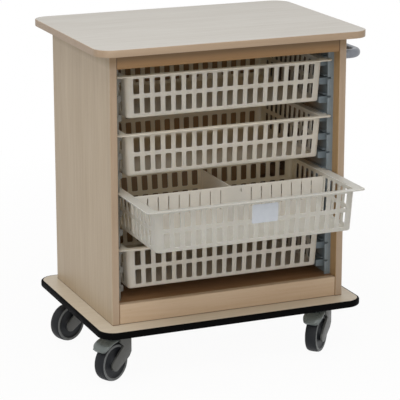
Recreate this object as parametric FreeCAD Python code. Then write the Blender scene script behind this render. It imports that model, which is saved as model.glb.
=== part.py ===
import FreeCAD
import Part
import math
import os

# Mobile tray storage trolley. A board carcass stands on a base deck with four swivel castors, and
# four slotted plastic trays slide on moulded runner panels inside it. The third tray from the top
# is pulled out. Millimetres and degrees. X runs across to the right, Y from the front to the back,
# Z up. The origin is on the floor under the middle of the carcass.

# Trays on a 600 x 400 module
TRAY_WIDTH = 600.0
TRAY_DEPTH = 400.0
TRAY_HEIGHT = 112.0
TRAY_WALL = 2.5
TRAY_TAPER = 6.0
TRAY_CORNER = 16.0
CORNER_FACETS = 3
TRAY_HEEL = 5.0
FLANGE_SIDE = 25.0
FLANGE_END = 14.0
FLANGE_THICKNESS = 4.0
FLANGE_CORNER = 8.0
SLOT_WIDTH = 16.5
SLOT_HEIGHT = 39.0
SLOT_PITCH = 28.9
SLOT_TOP = 11.0
SLOT_ROW_PITCH = 50.5
SLOT_ROWS = 2
SLOTS_ACROSS = 18

# Tray places, the trays counted from the top
TRAY_COUNT = 4
LOWEST_RIM = 192.0
TRAY_STEPS = 3
TRAY_SETBACK = 20.0
OPEN_TRAY = 3
PULLED_OUT = 198.0

# Dividers in the open tray
DIVIDER = 2.0
DIVIDER_DROP = 8.0
DIVIDER_PLAY = 0.2
LONG_DIVIDER_PLACE = 186.0
SLIT_WIDTH = 2.6
SLIT_TOP = 8.0
SLIT_LENGTH = 50.0
SLIT_OFFSET = 4.6
SLITS_EACH_WAY = 8
SHORT_SLIT_LENGTH = 10.0
DIVIDER_FOOT = 48.0

# Runner panels
RUNNER_PITCH = 50.0
RUNNERS_BELOW = 2
RUNNER_COUNT = 12
RUNNER_WEB = 7.8
RUNNER_SETBACK = 34.0
RUNNER_START = 22.0
RUNNER_TOP_GAP = 19.0
SIDE_PLAY = 1.2
LEDGE_REACH = 24.0
LEDGE_HEIGHT = 18.0
LEDGE_NOSE = 2.0
LEDGE_SLOPE = 1.0
LIP_REACH = 10.0
LIP_THICKNESS = 2.0
LIP_PLAY = 0.6
SLIDE_PLAY = 0.2
REAR_PLAY = 4.0

# Carcass of laminated board, sized to hold the trays
BOARD = 19.0
BACK_BOARD = 16.0
TOP_RAIL_HEIGHT = 43.0
TOP_RIM_GAP = 24.0
PLINTH_HEIGHT = 53.0
RAIL_RECESS = 2.0
ARRIS = 1.5
TRAY_PITCH = TRAY_STEPS * RUNNER_PITCH
TOP_RIM = LOWEST_RIM + (TRAY_COUNT - 1) * TRAY_PITCH
CARCASS_WIDTH = TRAY_WIDTH + 2 * (SIDE_PLAY + RUNNER_WEB + BOARD)
CARCASS_DEPTH = TRAY_SETBACK + TRAY_DEPTH + REAR_PLAY + BACK_BOARD
CARCASS_HEIGHT = TOP_RIM + TOP_RIM_GAP + TOP_RAIL_HEIGHT

# Top and base decks, the same outline
DECK = 18.0
OVERHANG_LEFT = 49.0
OVERHANG_RIGHT = 40.0
OVERHANG_FRONT = 60.0
OVERHANG_BACK = 33.0
DECK_CORNER = 45.0
EDGE_BAND = 2.0
BUMPER = 6.0
BUMPER_BEVEL = 4.0

# Push handle on the right side panel
HANDLE_TUBE = 12.0
HANDLE_SPAN = 380.0
HANDLE_REACH = 54.0
HANDLE_BEND = 30.0
HANDLE_LEVEL = 652.0
HANDLE_ROSE = 19.0
HANDLE_ROSE_THICKNESS = 4.0

# Swivel castors: the wheel, the fork and what carries them
CASTOR_HEAD = 28.0
CASTOR_INSET_LEFT = 77.0
CASTOR_INSET_RIGHT = 90.0
CASTOR_INSET_FRONT = 81.0
CASTOR_INSET_BACK = 118.0
WHEEL_RADIUS = 50.0
TREAD_WIDTH = 32.0
TYRE_DEPTH = 9.0
RIM_SIDES = 24
AXLE = 6.0
TRAIL = 38.0
PLATE_SIZE = 92.0
PLATE_THICKNESS = 3.0
RACE_RADIUS = 24.0
RACE_HEIGHT = 8.0
KINGPIN = 6.0
KINGPIN_HEAD = 10.0
KINGPIN_HEAD_HEIGHT = 3.0
FORK_HALF_WIDTH = 24.0
FORK_ARM = 6.0
FORK_ARM_END = 15.0
FORK_END_FORWARD = 6.0
FORK_END_DROP = 5.0
FORK_END_ARC = (245, 325, 405)
FORK_NOSE = 15.0
FORK_THROAT = 13.0
FORK_THROAT_DROP = 26.0
FORK_HEEL = 16.0
FORK_HEEL_DROP = 37.0
FORK_HEEL_FALL = 23.0
FORK_CROWN = 12.0
FORK_BACK = -24.0
FORK_BACK_BEVEL = 8.0
FORK_BACK_WALL = 5.0
FORK_WINDOW = 13.0
SHAFT_PLAY = 0.05
FACE_PLAY = 0.2

# Brake pedal of the two front castors
PEDAL_PIN = 3.0
PEDAL_PIN_FORWARD = 20.0
PEDAL_PIN_DROP = 21.0
PEDAL_PIN_WALL = 4.0
PEDAL_LUG = 6.0
PEDAL_HALF_WIDTH = 26.0
PEDAL_REACH = 88.0
PEDAL_CORNER = 18.0
PEDAL_PAD_GAP = 1.5
PEDAL_STEM = 14.0
PEDAL_CROWN = 25.0
PEDAL_CROWN_RISE = 4.0
PEDAL_NOSE = 2.5
PEDAL_NOSE_DROP = 8.0
PEDAL_MIDDLE_DROP = 15.0
PEDAL_TYRE_GAP = 7.5
PEDAL_ARCH = (38, 65, 94)

# Name of each castor, its side in X and Y, and the direction that its wheel trails
CASTORS = (
    ("front_left", -1, -1, 209.4),
    ("front_right", 1, -1, 224.6),
    ("rear_left", -1, 1, 203.0),
    ("rear_right", 1, 1, 215.0),
)

# Places that follow from the sizes above
QUARTER_TURN = 90
HALF_WIDTH = CARCASS_WIDTH / 2
HALF_DEPTH = CARCASS_DEPTH / 2
INNER_HALF = HALF_WIDTH - BOARD
DECK_LEFT = -HALF_WIDTH - OVERHANG_LEFT
DECK_RIGHT = HALF_WIDTH + OVERHANG_RIGHT
DECK_FRONT = -HALF_DEPTH - OVERHANG_FRONT
DECK_BACK = HALF_DEPTH + OVERHANG_BACK
CASTOR_HEIGHT = 2 * WHEEL_RADIUS + CASTOR_HEAD
PEDAL_PIN_LEVEL = CASTOR_HEIGHT - PEDAL_PIN_DROP
BASE_TOP = CASTOR_HEIGHT + DECK
TOP_UNDER = BASE_TOP + CARCASS_HEIGHT
SHELF_TOP = BASE_TOP + PLINTH_HEIGHT
BACK_FACE = HALF_DEPTH - BACK_BOARD
RUNNER_FRONT = -HALF_DEPTH + RUNNER_SETBACK
RUNNER_BACK = BACK_FACE - REAR_PLAY
GROOVE_HALF = TRAY_WIDTH / 2 + SIDE_PLAY
TRAY_BODY_HALF = TRAY_WIDTH / 2 - FLANGE_SIDE
PIN_TOP = CASTOR_HEIGHT - PLATE_THICKNESS
FORK_TOP = PIN_TOP - RACE_HEIGHT - FACE_PLAY


def vector(x, y, z):
    return FreeCAD.Vector(x, y, z)


def box(x0, x1, y0, y1, z0, z1):
    """Block between two opposite corners."""
    return Part.makeBox(x1 - x0, y1 - y0, z1 - z0, vector(x0, y0, z0))


def cylinder(radius, start, end):
    """Round bar between two points."""
    return Part.makeCylinder(radius, (end - start).Length, start, end - start)


def point_on_circle(x, y, radius, degrees, z):
    turn = math.radians(degrees)
    return vector(x + radius * math.cos(turn), y + radius * math.sin(turn), z)


def rounded_rectangle(x0, x1, y0, y1, radius, z):
    """Closed level wire of a rectangle with round corners."""
    centres = (
        (x1 - radius, y0 + radius, 3 * QUARTER_TURN),
        (x1 - radius, y1 - radius, 0),
        (x0 + radius, y1 - radius, QUARTER_TURN),
        (x0 + radius, y0 + radius, 2 * QUARTER_TURN),
    )
    corners = []
    for x, y, start in centres:
        corners.append([point_on_circle(x, y, radius, start + turn, z) for turn in (0, 45, 90)])
    edges = []
    for corner, following in zip(corners, corners[1:] + corners[:1]):
        edges.append(Part.Arc(*corner).toShape())
        edges.append(Part.makeLine(corner[2], following[0]))
    return Part.Wire(edges)


def rounded_slab(x0, x1, y0, y1, radius, z0, z1):
    """Level plate with round upright corners."""
    outline = rounded_rectangle(x0, x1, y0, y1, radius, z0)
    return Part.Face(outline).extrude(vector(0, 0, z1 - z0))


def extruded_polygon(points, direction):
    """Prism on a closed outline of straight runs."""
    return Part.Face(Part.makePolygon(points + [points[0]])).extrude(direction)


def edges_along(shape, axis):
    """Straight edges that run along one axis."""
    found = []
    for edge in shape.Edges:
        run = edge.Vertexes[-1].Point - edge.Vertexes[0].Point
        if run.Length > 0 and abs(run.normalize().dot(axis)) > 0.999:
            found.append(edge)
    return found


def softened_board(x0, x1, y0, y1, z0, z1, along):
    """Board whose edges along one axis are eased to a small arris."""
    board = box(x0, x1, y0, y1, z0, z1)
    return board.makeChamfer(ARRIS, edges_along(board, along))


# --- Carcass ---


def deck_slab(inset, z0, z1):
    """Deck outline, drawn in by an even inset."""
    return rounded_slab(
        DECK_LEFT + inset,
        DECK_RIGHT - inset,
        DECK_FRONT + inset,
        DECK_BACK - inset,
        DECK_CORNER - inset,
        z0,
        z1,
    )


def edge_band():
    """Thin band glued around the edge of the top board."""
    top = TOP_UNDER + DECK
    return deck_slab(0, TOP_UNDER, top).cut(deck_slab(EDGE_BAND, TOP_UNDER, top))


def base_bumper():
    """Bumper band pressed on round the base board, bevelled outside."""
    slab = deck_slab(0, CASTOR_HEIGHT, BASE_TOP)
    rims = [edge for edge in slab.Edges if edge.BoundBox.ZLength < BUMPER_BEVEL]
    return slab.makeChamfer(BUMPER_BEVEL, rims).cut(deck_slab(BUMPER, CASTOR_HEIGHT, BASE_TOP))


def carcass_parts():
    up = vector(0, 0, 1)
    across = vector(1, 0, 0)
    front = -HALF_DEPTH
    rail_front = front + RAIL_RECESS
    rail_back = rail_front + BOARD
    return {
        "top_board": deck_slab(EDGE_BAND, TOP_UNDER, TOP_UNDER + DECK),
        "top_edge_band": edge_band(),
        "base_board": deck_slab(BUMPER, CASTOR_HEIGHT, BASE_TOP),
        "base_bumper": base_bumper(),
        "side_panel_left": softened_board(
            -HALF_WIDTH, -INNER_HALF, front, HALF_DEPTH, BASE_TOP, TOP_UNDER, up
        ),
        "side_panel_right": softened_board(
            INNER_HALF, HALF_WIDTH, front, HALF_DEPTH, BASE_TOP, TOP_UNDER, up
        ),
        "back_panel": box(-INNER_HALF, INNER_HALF, BACK_FACE, HALF_DEPTH, BASE_TOP, TOP_UNDER),
        "top_rail": softened_board(
            -INNER_HALF, INNER_HALF, rail_front, rail_back, TOP_UNDER - TOP_RAIL_HEIGHT, TOP_UNDER, across
        ),
        "plinth_rail": softened_board(
            -INNER_HALF, INNER_HALF, rail_front, rail_back, BASE_TOP, SHELF_TOP, across
        ),
        "bottom_shelf": box(
            -INNER_HALF, INNER_HALF, rail_back, BACK_FACE, SHELF_TOP - BOARD, SHELF_TOP
        ),
    }


# --- Push handle ---


def handle_feet():
    """The two points where the handle meets the side panel."""
    level = BASE_TOP + HANDLE_LEVEL
    return [vector(HALF_WIDTH, side * HANDLE_SPAN / 2, level) for side in (-1, 1)]


def handle_bow(front, back):
    """Tube that leaves the panel, bends along it and bends in again."""
    up = vector(0, 0, 1)
    reach = HALF_WIDTH + HANDLE_REACH
    pieces = []
    for foot, side in ((front, 1), (back, -1)):
        leg_end = vector(reach - HANDLE_BEND, foot.y, foot.z)
        centre = leg_end + vector(0, side * HANDLE_BEND, 0)
        quarter = Part.makeTorus(HANDLE_BEND, HANDLE_TUBE, centre, up, -180, 180, QUARTER_TURN)
        quarter.rotate(centre, up, -QUARTER_TURN if side > 0 else 0)
        pieces += [cylinder(HANDLE_TUBE, foot, leg_end), quarter]
    grip_start = vector(reach, front.y + HANDLE_BEND, front.z)
    grip_end = vector(reach, back.y - HANDLE_BEND, back.z)
    return cylinder(HANDLE_TUBE, grip_start, grip_end).fuse(pieces).removeSplitter()


def handle_parts():
    front, back = handle_feet()
    foot_out = vector(HANDLE_ROSE_THICKNESS, 0, 0)
    roses = [cylinder(HANDLE_ROSE, foot, foot + foot_out) for foot in (front, back)]
    return {
        "push_handle": handle_bow(front + foot_out, back + foot_out),
        "handle_roses": Part.makeCompound(roses),
    }


# --- Runner panels ---


def ledge_levels():
    """Height of each ledge's top, under the flange of a tray that rests on it."""
    lowest = BASE_TOP + LOWEST_RIM - FLANGE_THICKNESS - SLIDE_PLAY - RUNNERS_BELOW * RUNNER_PITCH
    return [lowest + step * RUNNER_PITCH for step in range(RUNNER_COUNT)]


def ledge(side, level):
    """Ledge that carries a tray's side flange, with a blunt nose and a sloping underside."""
    root = side * GROOVE_HALF
    nose = side * (GROOVE_HALF - LEDGE_REACH)
    nose_root = nose + side * LEDGE_NOSE
    start = RUNNER_FRONT + RUNNER_START
    outline = [
        vector(root, start, level),
        vector(nose_root, start, level),
        vector(nose, start, level - LEDGE_NOSE),
        vector(nose, start, level - LEDGE_HEIGHT + LEDGE_NOSE + LEDGE_SLOPE),
        vector(nose_root, start, level - LEDGE_HEIGHT + LEDGE_SLOPE),
        vector(root, start, level - LEDGE_HEIGHT),
    ]
    return extruded_polygon(outline, vector(0, RUNNER_BACK - start, 0))


def hold_down_lip(side, level):
    """Thin lip over the flange, which keeps a pulled-out tray from tipping."""
    low = level + SLIDE_PLAY + FLANGE_THICKNESS + LIP_PLAY
    root = side * GROOVE_HALF
    edge = side * (GROOVE_HALF - LIP_REACH)
    start = RUNNER_FRONT + RUNNER_START
    return box(min(root, edge), max(root, edge), start, RUNNER_BACK, low, low + LIP_THICKNESS)


def runner_panel(side):
    """Upright web on the inner face of a side panel, with a ledge and a lip at every level."""
    inner = side * GROOVE_HALF
    outer = side * (GROOVE_HALF + RUNNER_WEB)
    top = TOP_UNDER - RUNNER_TOP_GAP
    web = box(min(outer, inner), max(outer, inner), RUNNER_FRONT, RUNNER_BACK, SHELF_TOP, top)
    rails = []
    for level in ledge_levels():
        rails.append(ledge(side, level))
        rails.append(hold_down_lip(side, level))
    return web.fuse(rails).removeSplitter()


# --- Trays ---


def tray_outline(half_x, half_y, corner, z):
    """Points of a level rectangle about the Z axis, each corner turned in a few facets."""
    points = []
    for quarter in range(4):
        start = QUARTER_TURN * quarter
        x = (half_x - corner) * (1 if quarter in (0, 3) else -1)
        y = (half_y - corner) * (1 if quarter in (0, 1) else -1)
        for step in range(CORNER_FACETS + 1):
            points.append(point_on_circle(x, y, corner, start + QUARTER_TURN * step / CORNER_FACETS, z))
    return points


def drafted_block(half_x, half_y, corner, lean, z0, z1):
    """Block whose walls lean in evenly from its outline at z1 down to z0."""
    upper = tray_outline(half_x, half_y, corner, z1)
    lower = tray_outline(half_x - lean, half_y - lean, corner - lean, z0)
    rims = [upper, lower]
    for here in range(len(upper)):
        before = here - 1
        rims.append([upper[before], upper[here], lower[here], lower[before]])
    faces = [Part.Face(Part.makePolygon(rim + [rim[0]])) for rim in rims]
    return Part.makeSolid(Part.makeShell(faces))


def tray_block(inset, top, bottom):
    """Tray outline drawn in by an inset, tapering to a bevelled heel round its bottom edge."""
    heel = bottom + TRAY_HEEL
    slope = TRAY_TAPER / TRAY_HEIGHT
    half_x = TRAY_BODY_HALF - inset + slope * top
    half_y = TRAY_DEPTH / 2 - FLANGE_END - inset + slope * top
    corner = TRAY_CORNER - inset + slope * top
    lean = slope * (top - heel)
    walls = drafted_block(half_x, half_y, corner, lean, heel, top)
    foot = drafted_block(half_x - lean, half_y - lean, corner - lean, TRAY_HEEL, bottom, heel)
    return walls.fuse(foot).translated(vector(0, TRAY_DEPTH / 2, 0))


def slot_cutters():
    """Bars that cut the rows of upright slots in the front wall."""
    bars = []
    for row in range(SLOT_ROWS):
        high = -SLOT_TOP - row * SLOT_ROW_PITCH
        for column in range(SLOTS_ACROSS):
            x = (column - (SLOTS_ACROSS - 1) / 2) * SLOT_PITCH - SLOT_WIDTH / 2
            bars.append(box(x, x + SLOT_WIDTH, 0, TRAY_DEPTH / 2, high - SLOT_HEIGHT, high))
    return bars


def tray():
    """Open tray with a flat flange, its rim top at Z = 0 and its front edge at Y = 0."""
    half = TRAY_WIDTH / 2
    flange = rounded_slab(-half, half, 0, TRAY_DEPTH, FLANGE_CORNER, -FLANGE_THICKNESS, 0)
    shell = flange.fuse(tray_block(0, 0, -TRAY_HEIGHT)).removeSplitter()
    hollow = tray_block(TRAY_WALL, TRAY_WALL, TRAY_WALL - TRAY_HEIGHT)
    return shell.cut(hollow).cut(slot_cutters())


def tray_place(number):
    """Front of the rim of a tray, counted from the top."""
    front = -HALF_DEPTH + TRAY_SETBACK
    if number == OPEN_TRAY:
        front -= PULLED_OUT
    return vector(0, front, BASE_TOP + LOWEST_RIM + (TRAY_COUNT - number) * TRAY_PITCH)


def tray_parts():
    pattern = tray()
    parts = {}
    for number in range(1, TRAY_COUNT + 1):
        parts["tray_%d" % number] = pattern.translated(tray_place(number))
    return parts


def inner_half(z):
    """Half width inside the tray at a depth below the rim."""
    return TRAY_BODY_HALF - TRAY_WALL - TRAY_TAPER * -z / TRAY_HEIGHT


def long_divider():
    """Cross wall over the full width of the tray, with upright slits for the short dividers."""
    top = -DIVIDER_DROP
    bottom = TRAY_WALL - TRAY_HEIGHT + TRAY_HEEL
    wide = inner_half(top) - DIVIDER_PLAY
    narrow = inner_half(bottom) - DIVIDER_PLAY
    foot = narrow - TRAY_HEEL
    floor = TRAY_WALL - TRAY_HEIGHT
    y = LONG_DIVIDER_PLACE
    outline = [
        vector(-wide, y, top),
        vector(wide, y, top),
        vector(narrow, y, bottom),
        vector(foot, y, floor),
        vector(-foot, y, floor),
        vector(-narrow, y, bottom),
    ]
    wall = extruded_polygon(outline, vector(0, DIVIDER, 0))
    return wall.cut(slits(top))


def slits(top):
    """Slits at every slot of the tray; one holds the short divider and the next is short."""
    cutters = []
    high = top - SLIT_TOP
    for place in range(-SLITS_EACH_WAY, SLITS_EACH_WAY + 1):
        x = SLIT_OFFSET + place * SLOT_PITCH - SLIT_WIDTH / 2
        length = SHORT_SLIT_LENGTH if place == 1 else SLIT_LENGTH
        if place != 0:
            cutters.append(
                box(x, x + SLIT_WIDTH, LONG_DIVIDER_PLACE, LONG_DIVIDER_PLACE + 2 * DIVIDER,
                    high - length, high)
            )
    return cutters


def short_divider():
    """Wall from the long divider to the rear of the tray, with a foot flat on the long one."""
    top = -DIVIDER_DROP
    floor = TRAY_WALL - TRAY_HEIGHT
    heel = floor + TRAY_HEEL
    near = LONG_DIVIDER_PLACE + DIVIDER
    rear = TRAY_DEPTH - FLANGE_END - TRAY_WALL - DIVIDER_PLAY
    slope = TRAY_TAPER / TRAY_HEIGHT
    outline = [
        vector(0, near, top),
        vector(0, rear + slope * top, top),
        vector(0, rear + slope * heel, heel),
        vector(0, rear + slope * floor - TRAY_HEEL, floor),
        vector(0, near, floor),
    ]
    wall = extruded_polygon(outline, vector(DIVIDER, 0, 0))
    wall = wall.translated(vector(SLIT_OFFSET - DIVIDER / 2, 0, 0))
    foot_left = SLIT_OFFSET - (DIVIDER_FOOT - SLOT_PITCH) / 2
    foot = box(foot_left, foot_left + DIVIDER_FOOT, near, near + DIVIDER, floor, top)
    return wall.fuse(foot).cut(slits(top)).removeSplitter()


def divider_parts():
    place = tray_place(OPEN_TRAY)
    return {
        "long_divider": long_divider().translated(place),
        "short_divider": short_divider().translated(place),
    }


# --- Castors, modelled with the swivel axis at X = Y = 0 and the wheel trailing along +X ---


def wheel_centre():
    return vector(TRAIL, 0, WHEEL_RADIUS)


def across_axle(radius, half):
    """Round bar on the axle's line, reaching the same way to both sides."""
    centre = wheel_centre()
    return cylinder(radius, centre - vector(0, half, 0), centre + vector(0, half, 0))


def rim_block(half):
    """Many-sided rim that keys the tyre to the hub, as a solid block."""
    radius = WHEEL_RADIUS - TYRE_DEPTH
    centre = wheel_centre() - vector(0, half, 0)
    turns = [360 * step / RIM_SIDES for step in range(RIM_SIDES)]
    points = [point_on_side(centre, radius, turn) for turn in turns]
    return extruded_polygon(points, vector(0, 2 * half, 0))


def tyre():
    """Tread ring moulded round the hub's rim."""
    half = TREAD_WIDTH / 2
    return across_axle(WHEEL_RADIUS, half).cut(rim_block(half))


def wheel_hub():
    """Disc wheel centre that turns on the axle and fills the width between the fork arms."""
    half = FORK_HALF_WIDTH - FORK_ARM - FACE_PLAY
    return rim_block(half).cut(across_axle(AXLE + SHAFT_PLAY, half))


def point_on_side(centre, radius, degrees):
    turn = math.radians(degrees)
    return centre + vector(radius * math.cos(turn), 0, radius * math.sin(turn))


def fork_outline():
    """Side view of the fork: a crown round the kingpin and an arm that ends round at the axle."""
    back = FORK_BACK
    front = PEDAL_PIN_FORWARD + PEDAL_PIN + PEDAL_PIN_WALL
    end = wheel_centre() + vector(FORK_END_FORWARD, 0, -FORK_END_DROP)
    lower, round_end, upper = [point_on_side(end, FORK_ARM_END, turn) for turn in FORK_END_ARC]
    corners = [
        upper,
        vector(front - FORK_THROAT, 0, FORK_TOP - FORK_THROAT_DROP),
        vector(front, 0, FORK_TOP - FORK_NOSE),
        vector(front, 0, FORK_TOP),
        vector(back, 0, FORK_TOP),
        vector(back, 0, FORK_TOP - FORK_HEEL_DROP),
        vector(back + FORK_HEEL, 0, FORK_TOP - FORK_HEEL_DROP - FORK_HEEL_FALL),
        lower,
    ]
    edges = [Part.Arc(lower, round_end, upper).toShape()]
    for start, following in zip(corners, corners[1:]):
        edges.append(Part.makeLine(start, following))
    return Part.Wire(edges)


def fork_plan():
    """Plan of the fork, bevelled behind the kingpin, as a block of full height."""
    outer = FORK_HALF_WIDTH
    bevel = outer - FORK_BACK_BEVEL
    points = [
        vector(FORK_BACK, -bevel, 0),
        vector(FORK_BACK + FORK_BACK_BEVEL, -outer, 0),
        vector(2 * WHEEL_RADIUS, -outer, 0),
        vector(2 * WHEEL_RADIUS, outer, 0),
        vector(FORK_BACK + FORK_BACK_BEVEL, outer, 0),
        vector(FORK_BACK, bevel, 0),
    ]
    return extruded_polygon(points, vector(0, 0, CASTOR_HEIGHT))


def fork(braked):
    """Fork with two arms round the wheel, riveted axle included, bored for the kingpin."""
    outer = FORK_HALF_WIDTH
    inner = outer - FORK_ARM
    body = Part.Face(fork_outline()).extrude(vector(0, 2 * outer, 0)).translated(vector(0, -outer, 0))
    crown_low = FORK_TOP - FORK_CROWN
    wheel_space = box(FORK_BACK + FORK_BACK_WALL, 2 * WHEEL_RADIUS, -inner, inner, 0, crown_low)
    cutters = [wheel_space, Part.makeCylinder(KINGPIN + SHAFT_PLAY, CASTOR_HEIGHT)]
    pins = [across_axle(AXLE, inner)]
    if braked:
        cutters.append(box(FORK_WINDOW, 2 * WHEEL_RADIUS, -inner, inner, 0, CASTOR_HEIGHT))
        pins.append(pedal_pin(inner))
    return body.common(fork_plan()).cut(cutters).fuse(pins)


def castor_plate():
    """Mounting plate with the upper raceway under it."""
    half = PLATE_SIZE / 2
    plate = box(-half, half, -half, half, PIN_TOP, CASTOR_HEIGHT)
    race = Part.makeCylinder(RACE_RADIUS, RACE_HEIGHT, vector(0, 0, PIN_TOP - RACE_HEIGHT))
    return plate.fuse(race).cut(Part.makeCylinder(KINGPIN, CASTOR_HEIGHT))


def kingpin():
    """Headed pin that hangs the fork from the plate."""
    head_top = FORK_TOP - FORK_CROWN - FACE_PLAY
    head_low = vector(0, 0, head_top - KINGPIN_HEAD_HEIGHT)
    shank = Part.makeCylinder(KINGPIN, CASTOR_HEIGHT - head_top, vector(0, 0, head_top))
    return shank.fuse(Part.makeCylinder(KINGPIN_HEAD, KINGPIN_HEAD_HEIGHT, head_low))


def pedal_pin(half_length):
    """Hinge pin of the pedal, between the fork arms."""
    half = vector(0, half_length, 0)
    middle = vector(PEDAL_PIN_FORWARD, 0, PEDAL_PIN_LEVEL)
    return cylinder(PEDAL_PIN, middle - half, middle + half)


def pedal_profile():
    """Side view of the pedal: a lug on the hinge pin, a domed top and an arch over the tyre."""
    hinge = vector(PEDAL_PIN_FORWARD, 0, PEDAL_PIN_LEVEL)
    tip = vector(PEDAL_REACH, 0, PEDAL_PIN_LEVEL)
    lug = PEDAL_LUG
    half = lug / 2
    around = WHEEL_RADIUS + PEDAL_TYRE_GAP
    front, middle, back = [point_on_side(wheel_centre(), around, turn) for turn in PEDAL_ARCH]
    top_start = hinge + vector(PEDAL_STEM, 0, lug)
    crown = tip + vector(-PEDAL_CROWN, 0, PEDAL_CROWN_RISE)
    nose_top = tip + vector(-PEDAL_NOSE, 0, -PEDAL_NOSE_DROP)
    nose = tip + vector(0, 0, -PEDAL_MIDDLE_DROP)
    lug_outline = [
        back,
        hinge + vector(half, 0, -lug),
        hinge + vector(-half, 0, -lug),
        hinge + vector(-lug, 0, -half),
        hinge + vector(-lug, 0, half),
        hinge + vector(-half, 0, lug),
        top_start,
    ]
    edges = [Part.makeLine(*run) for run in zip(lug_outline, lug_outline[1:])]
    edges.append(Part.Arc(top_start, crown, nose_top).toShape())
    edges.append(Part.Arc(nose_top, nose, front).toShape())
    edges.append(Part.Arc(front, middle, back).toShape())
    return Part.Wire(edges)


def brake_pedal():
    """Foot pedal over the wheel: a narrow stem between the fork arms and a broad pad."""
    wide = vector(0, -PEDAL_HALF_WIDTH, 0)
    hinge = vector(PEDAL_PIN_FORWARD, 0, PEDAL_PIN_LEVEL)
    blade = Part.Face(pedal_profile()).extrude(wide * -2).translated(wide)
    inner = FORK_HALF_WIDTH - FORK_ARM - FACE_PLAY
    stem = box(0, PEDAL_REACH, -inner, inner, 0, CASTOR_HEIGHT)
    start = hinge.x + PEDAL_PIN + PEDAL_PIN_WALL + PEDAL_PAD_GAP
    pad = rounded_slab(start, PEDAL_REACH, wide.y, -wide.y, PEDAL_CORNER, 0, CASTOR_HEIGHT)
    bore = cylinder(PEDAL_PIN + SHAFT_PLAY, hinge + wide, hinge - wide)
    return blade.common(stem.fuse(pad)).cut(bore)


def castor_place(side_x, side_y):
    """Swivel axis of a castor in plan."""
    x = DECK_LEFT + CASTOR_INSET_LEFT if side_x < 0 else DECK_RIGHT - CASTOR_INSET_RIGHT
    y = DECK_FRONT + CASTOR_INSET_FRONT if side_y < 0 else DECK_BACK - CASTOR_INSET_BACK
    return vector(x, y, 0)


def castor_parts():
    parts = {}
    plates = []
    kingpins = []
    for name, side_x, side_y, heading in CASTORS:
        place = castor_place(side_x, side_y)
        braked = side_y < 0
        plates.append(castor_plate().translated(place))
        kingpins.append(kingpin().translated(place))
        turning = {
            "castor_fork": fork(braked),
            "wheel_hub": wheel_hub(),
            "wheel_tyre": tyre(),
        }
        if braked:
            turning["brake_pedal"] = brake_pedal()
        for kind, shape in turning.items():
            shape.rotate(vector(0, 0, 0), vector(0, 0, 1), heading)
            parts["%s_%s" % (kind, name)] = shape.translated(place)
    parts["castor_plates"] = Part.makeCompound(plates)
    parts["castor_kingpins"] = Part.makeCompound(kingpins)
    return parts


def all_parts():
    parts = carcass_parts()
    parts.update(handle_parts())
    parts["runner_panel_left"] = runner_panel(-1)
    parts["runner_panel_right"] = runner_panel(1)
    parts.update(tray_parts())
    parts.update(divider_parts())
    parts.update(castor_parts())
    return parts


os.makedirs("parts", exist_ok=True)
for node, solid in all_parts().items():
    solid.exportStep("parts/%s.step" % node)
    print(node, len(solid.Solids), round(solid.Volume), solid.isValid())
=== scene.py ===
import math

import bmesh
import bpy
from mathutils import Matrix, Vector
from mathutils.bvhtree import BVHTree


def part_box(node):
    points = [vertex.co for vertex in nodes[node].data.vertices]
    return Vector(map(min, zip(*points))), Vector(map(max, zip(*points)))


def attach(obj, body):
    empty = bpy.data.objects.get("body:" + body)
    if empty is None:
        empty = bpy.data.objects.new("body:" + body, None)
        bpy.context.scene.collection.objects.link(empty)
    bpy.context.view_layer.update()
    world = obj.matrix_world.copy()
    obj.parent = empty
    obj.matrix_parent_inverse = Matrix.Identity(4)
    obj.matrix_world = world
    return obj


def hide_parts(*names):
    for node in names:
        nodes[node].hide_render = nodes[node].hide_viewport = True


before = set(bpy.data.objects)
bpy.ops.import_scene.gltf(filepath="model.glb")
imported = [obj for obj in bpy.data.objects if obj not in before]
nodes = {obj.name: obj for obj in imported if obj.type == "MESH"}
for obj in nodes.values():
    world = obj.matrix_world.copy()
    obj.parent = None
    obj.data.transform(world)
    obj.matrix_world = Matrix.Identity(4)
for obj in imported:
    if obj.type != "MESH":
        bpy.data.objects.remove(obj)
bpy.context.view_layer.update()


# --- Worktop -----------------------------------------------------------------
# An 18 mm chipboard top pressed with pale laminate, its long grain from side to side.
# A 2 mm plastic edge band is glued round it, and the trimmer rounds its arrises.

def tone(red, green, blue):
    """Linear colour of a paint-chart value from 0 to 255."""
    parts = [value / 255 for value in (red, green, blue)]
    linear = [part / 12.92 if part <= 0.04045 else ((part + 0.055) / 1.055) ** 2.4 for part in parts]
    return (*linear, 1.0)


def put(tree, kind, sockets=(), **settings):
    """One shader node; sockets maps an input's name or number to a value or to another node's output."""
    node = tree.nodes.new(kind)
    for name, value in settings.items():
        setattr(node, name, value)
    for name, value in dict(sockets).items():
        if isinstance(value, bpy.types.NodeSocket):
            tree.links.new(value, node.inputs[name])
        else:
            node.inputs[name].default_value = value
    return node


def maths(tree, operation, *values, clamp=False):
    node = put(tree, "ShaderNodeMath", dict(enumerate(values)), operation=operation, use_clamp=clamp)
    return node.outputs[0]


def noise(tree, vector, scale, detail, distortion=0.0):
    sockets = {"Vector": vector, "Scale": scale, "Detail": detail, "Distortion": distortion}
    return put(tree, "ShaderNodeTexNoise", sockets).outputs[0]


def spread(tree, value, low, high, to_low, to_high):
    """Map Range from one pair of numbers to another."""
    ranged = put(tree, "ShaderNodeMapRange", {0: value, 1: low, 2: high, 3: to_low, 4: to_high})
    return ranged.outputs[0]


def blend_colours(tree, factor, first, second, mode="MIX"):
    mix = put(tree, "ShaderNodeMix", {0: factor, 6: first, 7: second}, data_type="RGBA", blend_type=mode)
    return mix.outputs[2]


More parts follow.
